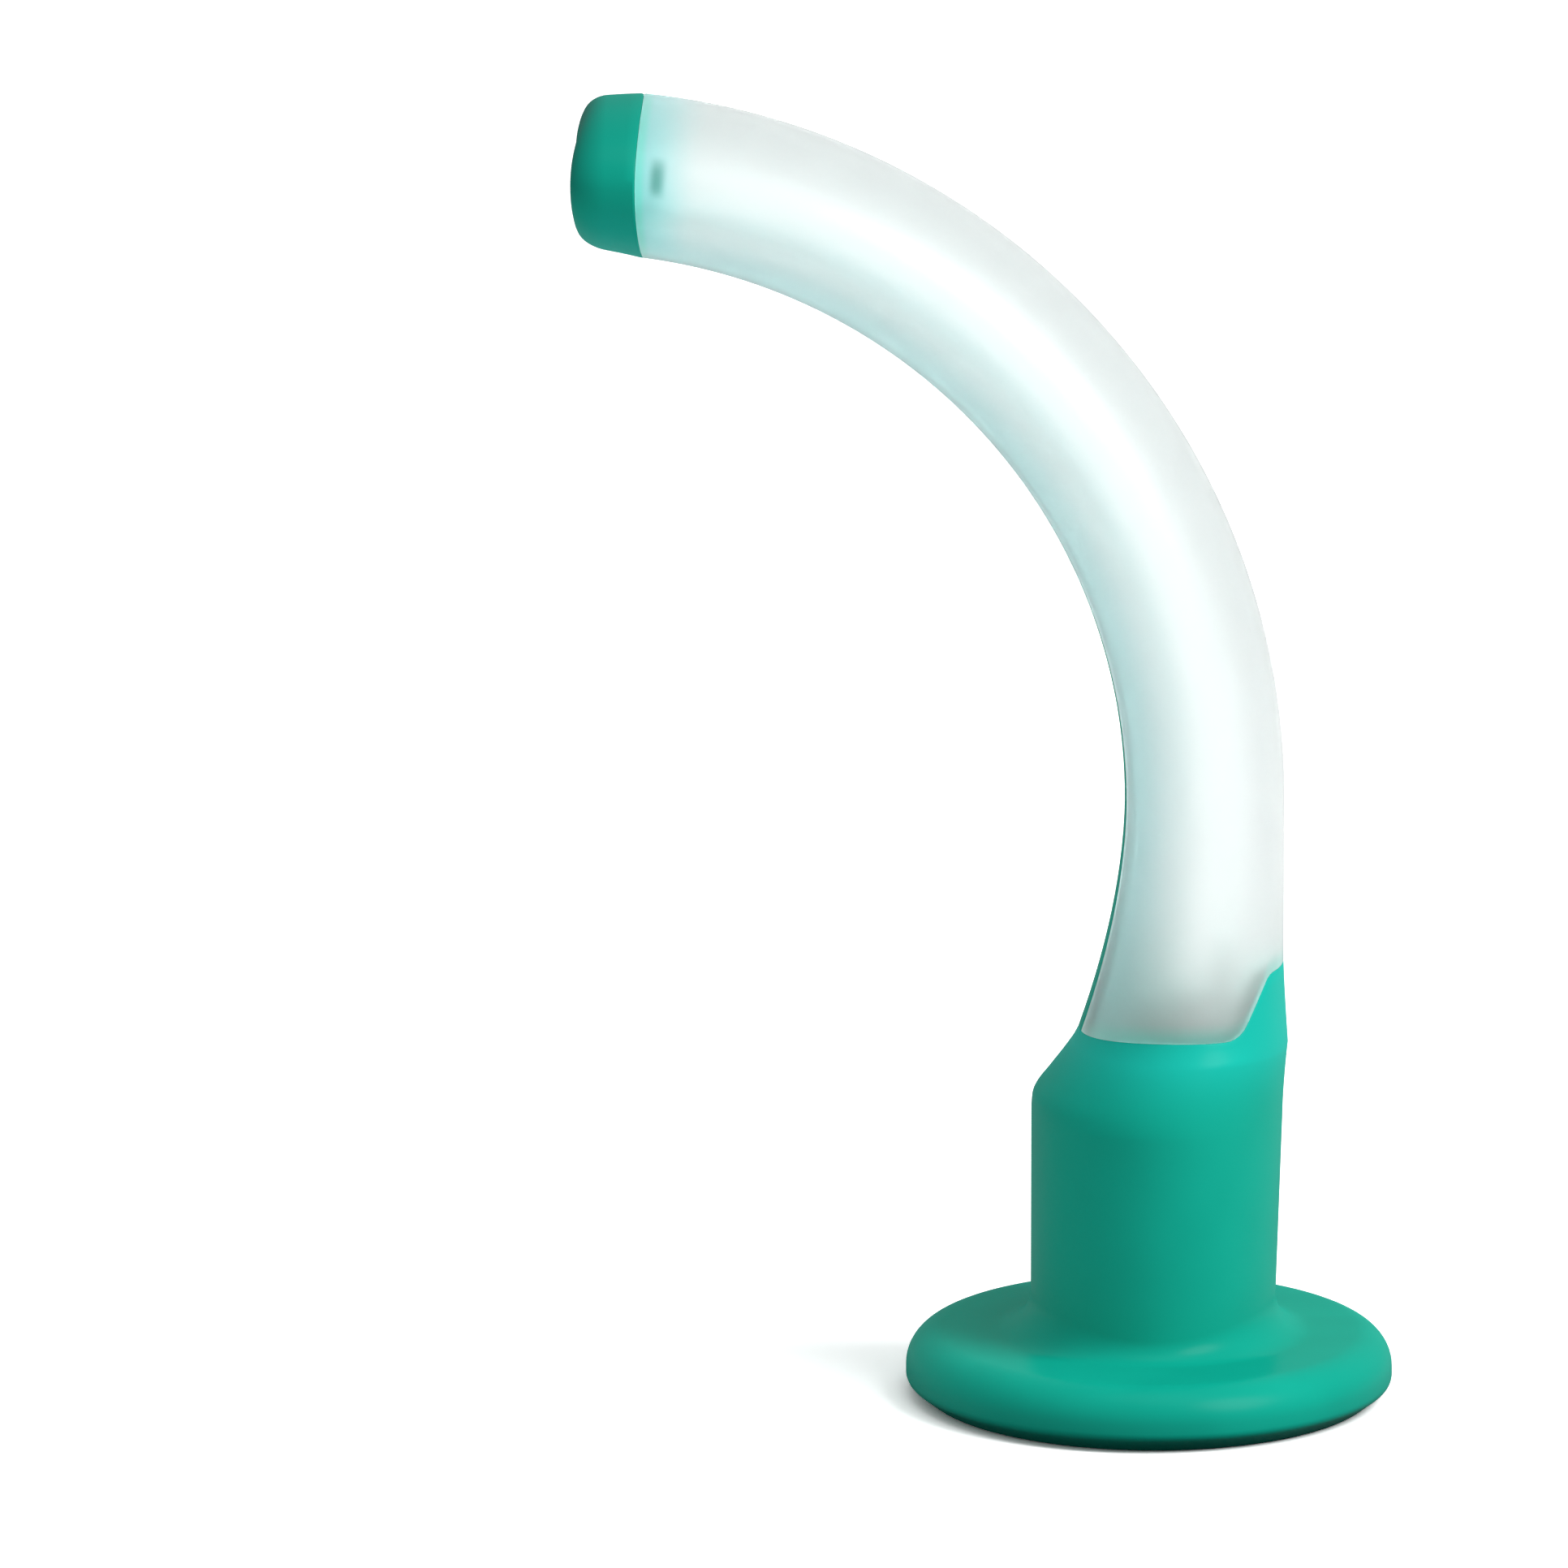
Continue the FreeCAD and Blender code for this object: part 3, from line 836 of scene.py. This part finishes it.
def ranged(tree, value, span, onto=(0.0, 1.0)):
    """The value carried from one span on to another, with a soft start and end."""
    carry = tree.nodes.new("ShaderNodeMapRange")
    carry.interpolation_type = "SMOOTHSTEP"
    tree.links.new(value, carry.inputs["Value"])
    for label, number in zip(("From Min", "From Max", "To Min", "To Max"), (*span, *onto)):
        carry.inputs[label].default_value = number
    return carry.outputs["Result"]


def uneven(tree, shader, scale, strength, distance):
    """A faint relief from noise on the shader's normal."""
    relief = tree.nodes.new("ShaderNodeBump")
    relief.inputs["Strength"].default_value = strength
    relief.inputs["Distance"].default_value = distance
    tree.links.new(noise(tree, scale), relief.inputs["Height"])
    tree.links.new(relief.outputs["Normal"], shader.inputs["Normal"])


def green_elastomer(finish):
    """Soft satin elastomer, a touch darker in patches, lighter where it is thin over the tube, with
    painted light and shade on the tip and the fine grain of its mould.
    """
    material, tree, shader = new_material("green_elastomer")
    patches = ranged(tree, noise(tree, scale=90), span=(0.35, 0.7))
    base = mixed(tree, patches, finish.green, finish.green_deep)
    # Painted light on the tip's underside and painted shade on its top, with darker green towards its
    # face, where the green is thicker; lighter where the green is thin over the tube
    skin = tree.nodes.new("ShaderNodeAttribute")
    skin.attribute_name = "thin_and_painted_light"
    thin_and_painted_light = Term(tree, skin.outputs["Fac"])
    base = mixed(tree, thin_and_painted_light.socket, base, finish.green_thin_and_painted_light)
    base = mixed(tree, (thin_and_painted_light * -1.0).socket, base, finish.green_thick_and_painted_shade)
    tree.links.new(base, shader.inputs["Base Color"])
    grain = ranged(tree, noise(tree, scale=2400), span=(0.3, 0.7), onto=(0.46, 0.56))
    tree.links.new(grain, shader.inputs["Roughness"])
    uneven(tree, shader, scale=3500, strength=0.06, distance=0.02 * MM)
    shader.inputs["Specular IOR Level"].default_value = 0.0
    shader.inputs["Coat Weight"].default_value = 0.1
    shader.inputs["Coat Roughness"].default_value = 0.3
    return material


def clear_polypropylene(finish):
    """Milky hard plastic that lets light through, with painted light and shade: green light painted
    where green lies beside or behind it, and painted shade on its convex side and where the green shuts
    light out.
    """
    material, tree, shader = new_material("clear_polypropylene")

    def near(attribute, start, end, strength=1.0):
        """Strength at the start of this range, fading to nothing at its end."""
        away = tree.nodes.new("ShaderNodeAttribute")
        away.attribute_name = attribute
        span, onto = (start, end), (strength, 0.0)
        if start > end:
            span, onto = span[::-1], onto[::-1]
        return Term(tree, ranged(tree, away.outputs["Fac"], span, onto))

    # A small shaded mark on each side, just behind the tip
    spot = near("from_cap", 1.4 * MM, 2.1 * MM) * near("from_cap", 1.3 * MM, 0.7 * MM)
    spot = spot * near("sideways", 1.0, 0.92)
    above_sleeve = near("from_sleeve", 0.0, 12 * MM)
    # Each painted tint's place and strength, and its colour, from the lowest layer to the uppermost:
    # painted shade on the convex side, painted green light and shade beside the stripe, painted shade
    # above the sleeve, a painted halo at the sleeve's edge, painted green light behind the tip, the
    # painted shade marks and a painted halo at the tip's edge
    tints = (
        (near("from_stripe", 27 * MM, 17 * MM, 0.4), finish.painted_convex_shade),
        (near("from_stripe", 0.0, 10 * MM, 0.72), finish.painted_green_light_and_shade),
        (above_sleeve * near("from_stripe", 4 * MM, 15 * MM, 0.45), finish.shaded),
        (near("from_sleeve", 0.0, 1.4 * MM, 0.8), finish.painted_halo),
        (near("from_cap", 0.0, 4 * MM, 0.8), finish.painted_green_light_and_shade),
        (spot, finish.shaded),
        (near("from_cap", 0.25 * MM, 0.75 * MM, 0.9), finish.painted_halo),
    )
    base = finish.milky
    for factor, tint in tints:
        base = mixed(tree, factor.socket, base, tint)
    tree.links.new(base, shader.inputs["Base Color"])
    flow = ranged(tree, noise(tree, scale=220), span=(0.3, 0.7), onto=(0.35, 0.39))
    tree.links.new(flow, shader.inputs["Roughness"])
    shader.inputs["IOR"].default_value = 1.49
    shader.inputs["Transmission Weight"].default_value = 0.8
    return material


def float_attribute(mesh, name, values):
    attribute = mesh.attributes.new(name, "FLOAT", "POINT")
    attribute.data.foreach_set("value", values)


# Operators


def spot_level(angle):
    """1 where the small painted shade marks behind the tip lie, a little above the tube's sides, and
    less away.
    """
    level = 0.2
    return 1 - (math.cos(angle) - level) ** 2


def thinness_and_painted_light(pattern, sleeve, key, place):
    """How thin the green is at a point, 1 over the tube, and on the tip painted light and shade: above 0
    on its underside, below 0 on its top and towards its face.
    """
    tube, mark = pattern.tube, pattern.mark
    if key[0] == "sleeve":
        part = (place.z - sleeve.shoulder_height) / (tube.flare_foot - sleeve.shoulder_height)
        return max(0.0, part) ** 2
    i, _, k = key
    if i >= mark["cap"]:
        # The tip looks thin below, and thicker above and towards its face
        # Painted light and shade on the tip: lighter below, darker above, and darker towards its face,
        # where the green is also thicker
        reach, at_top, at_face = 0.4, 0.35, 0.7
        level = math.cos(place.y)
        toward_face = max(0.0, i - mark["lead"]) / (mark["end"] - mark["lead"])
        return max(0.0, -level) - at_top * max(0.0, level + reach) - at_face * toward_face
    return 1.0 if mark["foot"] <= i <= mark["cover"] and k == 0 else 0.0


def finished(piece, nodes):
    """Smooths the piece, lets it ride on the body and stand for its CAD nodes."""
    tidy_faces(piece)
    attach(piece, "root")
    if nodes:
        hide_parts(*nodes)


class MakeClearTube(bpy.types.Operator):
    """Makes the hard tube, with beds for the green that is let into it"""

    bl_idname = "airway.clear_tube"
    bl_label = "Clear tube"

    def execute(self, context):
        tube = context.scene.airway_tube
        pattern = Pattern(tube)
        shell = Shell()
        shell.skin(pattern, pattern.is_clear, side=1)
        mesh = shell.mesh("clear_tube")
        away = {"from_stripe": [], "from_cap": [], "from_sleeve": [], "sideways": []}
        for along, angle, depth in shell.points:
            turned = abs(math.remainder(angle - math.pi, 2 * math.pi))
            away["from_stripe"].append(max(0.0, turned - pattern.stripe_half) * tube.width / 2)
            away["from_cap"].append(max(0.0, pattern.cap_start(angle) - along))
            away["from_sleeve"].append(max(0.0, along - pattern.top_of_green(angle)))
            away["sideways"].append(spot_level(angle))
        for name, values in away.items():
            float_attribute(mesh, name, values)
        piece = new_piece("clear_tube", mesh)
        material = clear_polypropylene(context.scene.airway_finish)
        values = tube_values(tube)
        with_tree(piece, carrying_tree(values), values, material)
        finished(piece, ["airway_tube"])
        return {"FINISHED"}


class MakeGreenMoulding(bpy.types.Operator):
    """Makes the soft green moulding: flange, bite block, tongue, stripe and tip in one piece"""

    bl_idname = "airway.green_moulding"
    bl_label = "Green moulding"

    def execute(self, context):
        tube, sleeve = context.scene.airway_tube, context.scene.airway_sleeve
        pattern = Pattern(tube)
        shell = Shell()
        foot = pattern.mark["foot"]

        def under_sleeve(i, j, k, way):
            return k == 0 and (way == ("depth", 0) and i < foot or way == ("along", 0) and i == 0)

        shell.skin(pattern, pattern.is_green, side=-1, left_open=under_sleeve)
        around = range(len(pattern.angles))
        last = [shell.known[(foot, j, 0)] for j in around]
        rows = shoulder_rows(sleeve, tube, pattern.angles) + block_rows(sleeve, pattern.angles)
        for shape in rim_rings(sleeve) + bead_rings(sleeve) + funnel_rings(sleeve, tube):
            rows.append([ring_point(shape, angle) for angle in pattern.angles])
        for number, places in enumerate(rows):
            row = [shell.point(("sleeve", number, j), lambda: places[j]) for j in around]
            shell.band(last, row)
            last = row
        shell.band(last, [shell.known[(0, j, 1)] for j in around])
        mesh = shell.mesh("green_moulding")
        points = zip(shell.known, shell.points)
        thin_and_painted_light = [thinness_and_painted_light(pattern, sleeve, key, place) for key, place in points]
        float_attribute(mesh, "thin_and_painted_light", thin_and_painted_light)
        piece = new_piece("green_moulding", mesh)
        material = green_elastomer(context.scene.airway_finish)
        values = tube_values(tube)
        with_tree(piece, carrying_tree(values), values, material)
        finished(piece, ["soft_overmould"])
        return {"FINISHED"}


def rib_tree(names, count):
    """Marking ribs side by side, laid on the funnel's hollow face."""
    tree, entry, given = tree_with_inputs("ribs_on_the_funnel", names)
    bar = tree.nodes.new("GeometryNodeMeshCube")
    for label, number in (("Vertices X", 25), ("Vertices Y", 9), ("Vertices Z", 4)):
        bar.inputs[label].default_value = number
    bar.inputs["Size"].default_value = (1, 1, 1)
    line = tree.nodes.new("GeometryNodeMeshLine")
    line.inputs["Count"].default_value = count
    first = given["Pitch"] * (-(count - 1) / 2)
    for label, across in (("Start Location", first), ("Offset", given["Pitch"])):
        whole = tree.nodes.new("ShaderNodeCombineXYZ")
        tree.links.new(across.socket, whole.inputs["Y"])
        tree.links.new(whole.outputs["Vector"], line.inputs[label])
    long, wide, high = place_of(tree)
    # The share of a rib's length before its ends round over, and how deep it stands in the funnel
    straight, sunk = 0.6, 0.2 * MM
    end = ((long * 2).made("ABSOLUTE") - straight).at_least(0.0) / (1 - straight)
    edge = (wide * 2).made("ABSOLUTE")
    full = ((end * end + edge * edge) * -1.0 + 1.0).at_least(0.0) ** 0.5
    shaped = moved_to(
        tree, bar.outputs["Mesh"],
        given["Start"] + (long + 0.5) * given["Length"],
        wide * given["Width"],
        (high + 0.5) * (full * given["Rise"] + sunk) - sunk,
    )
    copy = tree.nodes.new("GeometryNodeInstanceOnPoints")
    tree.links.new(line.outputs["Mesh"], copy.inputs["Points"])
    tree.links.new(shaped, copy.inputs["Instance"])
    realize = tree.nodes.new("GeometryNodeRealizeInstances")
    tree.links.new(copy.outputs["Instances"], realize.inputs["Geometry"])
    x, y, rise = place_of(tree)
    left = ((x - given["Mouth"]) / given["Spread"]).at_least(0.0) ** (given["Curve"] ** -1.0)
    face = given["Lowest"] + given["Depth"] * (left * -1.0 + 1.0)
    finish_tree(tree, entry, moved_to(tree, realize.outputs["Geometry"], x, y, face - rise))
    return tree


class MakeMarkingRibs(bpy.types.Operator):
    """Makes the small raised ribs under the opening"""

    bl_idname = "airway.marking_ribs"
    bl_label = "Marking ribs"

    def execute(self, context):
        tube, sleeve = context.scene.airway_tube, context.scene.airway_sleeve
        mouth = tube.mouth_short / 2 + sleeve.throat_step
        wide = sleeve.flange_short / 2 - sleeve.bead_width - FUNNEL_INSET
        lowest = sleeve.bead_depth - FUNNEL_DROP
        values = {
            "Start": sleeve.rib_start,
            "Length": sleeve.rib_length,
            "Width": sleeve.rib_width,
            "Pitch": sleeve.rib_pitch,
            "Rise": sleeve.rib_rise,
            "Mouth": mouth,
            "Spread": wide - mouth,
            "Lowest": lowest,
            "Depth": tube.mouth_height - lowest,
            "Curve": sleeve.funnel_curve,
        }
        piece = new_piece("marking_ribs", bpy.data.meshes.new("marking_ribs"))
        material = bpy.data.materials["green_elastomer"]
        with_tree(piece, rib_tree(values, sleeve.rib_count), values, material)
        finished(piece, [])
        return {"FINISHED"}


CAMERA_TARGET = Vector((-23.43, 0, 39.4)) * MM
LAMP_TARGET = Vector((0, 0, 0.04))
KEY_PLACE, KEY_WIDTH = Vector((0.92, -0.49, 0.94)), 0.9
TOP_PLACE, TOP_WIDTH = Vector((0.1, -0.3, 1.35)), 1.0
# The floor reaches this far and lies a hair below the rim
FLOOR_REACH, FLOOR_DROP = 5.0, 0.02 * MM
# The floor's colour for the camera, how much of it mirrored rays see, and its colour for light
FLOOR_SEEN, FLOOR_MIRRORED, FLOOR_LIGHT = 1.6, 0.6, 0.55
# The floor's colour for light is painted black round and under the flange, a painted contact shade on
# the rim's underside: distances from its middle, with 1 at its rim
FLOOR_DARK_TO, FLOOR_LIT_FROM = 1.02, 1.35


class MakeStage(bpy.types.Operator):
    """Makes the floor, the lights and the camera"""

    bl_idname = "airway.stage"
    bl_label = "Stage"

    def execute(self, context):
        scene, stage = context.scene, context.scene.airway_stage
        scene.view_settings.view_transform = "Standard"
        self.floor()
        self.world(scene, stage.fill)
        back = Vector((
            math.sin(stage.azimuth) * math.cos(stage.elevation),
            -math.cos(stage.azimuth) * math.cos(stage.elevation),
            math.sin(stage.elevation),
        ))
        camera = bpy.data.objects.new("camera", bpy.data.cameras.new("camera"))
        camera.data.lens = stage.lens
        camera.data.clip_start, camera.data.clip_end = 0.05, 20
        camera.location = CAMERA_TARGET + back * stage.distance
        camera.rotation_euler = back.to_track_quat("Z", "Y").to_euler()
        scene.collection.objects.link(camera)
        scene.camera = camera
        self.lamp("key", stage.key, KEY_WIDTH, KEY_PLACE)
        self.lamp("top", stage.top, TOP_WIDTH, TOP_PLACE)
        return {"FINISHED"}

    def lamp(self, name, watts, width, place):
        light = bpy.data.lights.new(name, "AREA")
        light.energy = watts
        light.shape = "DISK"
        light.size = width
        lamp = bpy.data.objects.new(name, light)
        lamp.location = place
        lamp.rotation_euler = (place - LAMP_TARGET).to_track_quat("Z", "Y").to_euler()
        bpy.context.scene.collection.objects.link(lamp)

    def seen_directly(self, tree, mirrored):
        """1 for rays from the camera or through the tube, mirrored for mirrored ones, 0 for the rest."""
        path = tree.nodes.new("ShaderNodeLightPath")
        through = Term(tree, path.outputs["Is Transmission Ray"])
        seen = Term(tree, path.outputs["Is Camera Ray"]).at_least(through)
        return seen.at_least(Term(tree, path.outputs["Is Glossy Ray"]) * mirrored)

    def floor(self):
        mesh = bpy.data.meshes.new("floor")
        far, low = FLOOR_REACH, -FLOOR_DROP
        corners = [(-far, -far, low), (far, -far, low), (far, far, low), (-far, far, low)]
        mesh.from_pydata(corners, [], [(0, 1, 2, 3)])
        floor = new_piece("floor", mesh)
        material, tree, shader = new_material("white_floor")
        seen = self.seen_directly(tree, FLOOR_MIRRORED)
        tree.nodes.remove(shader)
        matt = tree.nodes.new("ShaderNodeBsdfDiffuse")
        place = tree.nodes.new("ShaderNodeSeparateXYZ")
        tree.links.new(tree.nodes.new("ShaderNodeTexCoord").outputs["Object"], place.inputs[0])
        sleeve = bpy.context.scene.airway_sleeve
        x = Term(tree, place.outputs["X"]) / (sleeve.flange_short / 2)
        y = Term(tree, place.outputs["Y"]) / (sleeve.flange_long / 2)
        away = (x * x + y * y) ** 0.5
        # Painted contact shade: the floor gives back no light round the flange
        under = ranged(tree, away.socket, (FLOOR_DARK_TO, FLOOR_LIT_FROM), onto=(1.0, 0.0))
        light = mixed(tree, under, [FLOOR_LIGHT] * 3, [0.0] * 3)
        shown = mixed(tree, seen.socket, light, [FLOOR_SEEN] * 3)
        tree.links.new(shown, matt.inputs["Color"])
        tree.links.new(matt.outputs["BSDF"], tree.nodes["Material Output"].inputs["Surface"])
        mesh.materials.append(material)

    def world(self, scene, fill):
        world = bpy.data.worlds.new("soft_white")
        scene.world = world
        world.use_nodes = True
        tree = world.node_tree
        background = tree.nodes["Background"]
        background.inputs["Color"].default_value = (1, 1, 1, 1)
        seen = self.seen_directly(tree, mirrored=1.0)
        tree.links.new((seen * (1 - fill) + fill).socket, background.inputs["Strength"])


class AirwayPanel(bpy.types.Panel):
    """The airway's sizes, colours and pieces"""

    bl_idname = "AIRWAY_PT_panel"
    bl_label = "Airway"
    bl_space_type = "VIEW_3D"
    bl_region_type = "UI"
    bl_category = "Airway"

    def draw(self, context):
        for group in GROUPS:
            settings = getattr(context.scene, group)
            box = self.layout.box()
            box.label(text=group.replace("_", " "))
            for name in settings.__annotations__:
                box.prop(settings, name)
        for maker in MAKERS:
            self.layout.operator(maker.bl_idname)


GROUPS = {
    "airway_tube": TubeSizes,
    "airway_sleeve": SleeveSizes,
    "airway_finish": Finish,
    "airway_stage": Stage,
}
MAKERS = (MakeClearTube, MakeGreenMoulding, MakeMarkingRibs, MakeStage)
CLASSES = (*GROUPS.values(), *MAKERS, AirwayPanel)


def register():
    for part in CLASSES:
        bpy.utils.register_class(part)
    for name, group in GROUPS.items():
        setattr(bpy.types.Scene, name, PointerProperty(type=group))


def unregister():
    for name in GROUPS:
        delattr(bpy.types.Scene, name)
    for part in reversed(CLASSES):
        bpy.utils.unregister_class(part)


def main():
    register()
    bpy.ops.airway.clear_tube()
    bpy.ops.airway.green_moulding()
    bpy.ops.airway.marking_ribs()
    bpy.ops.airway.stage()


if __name__ == "__main__":
    main()
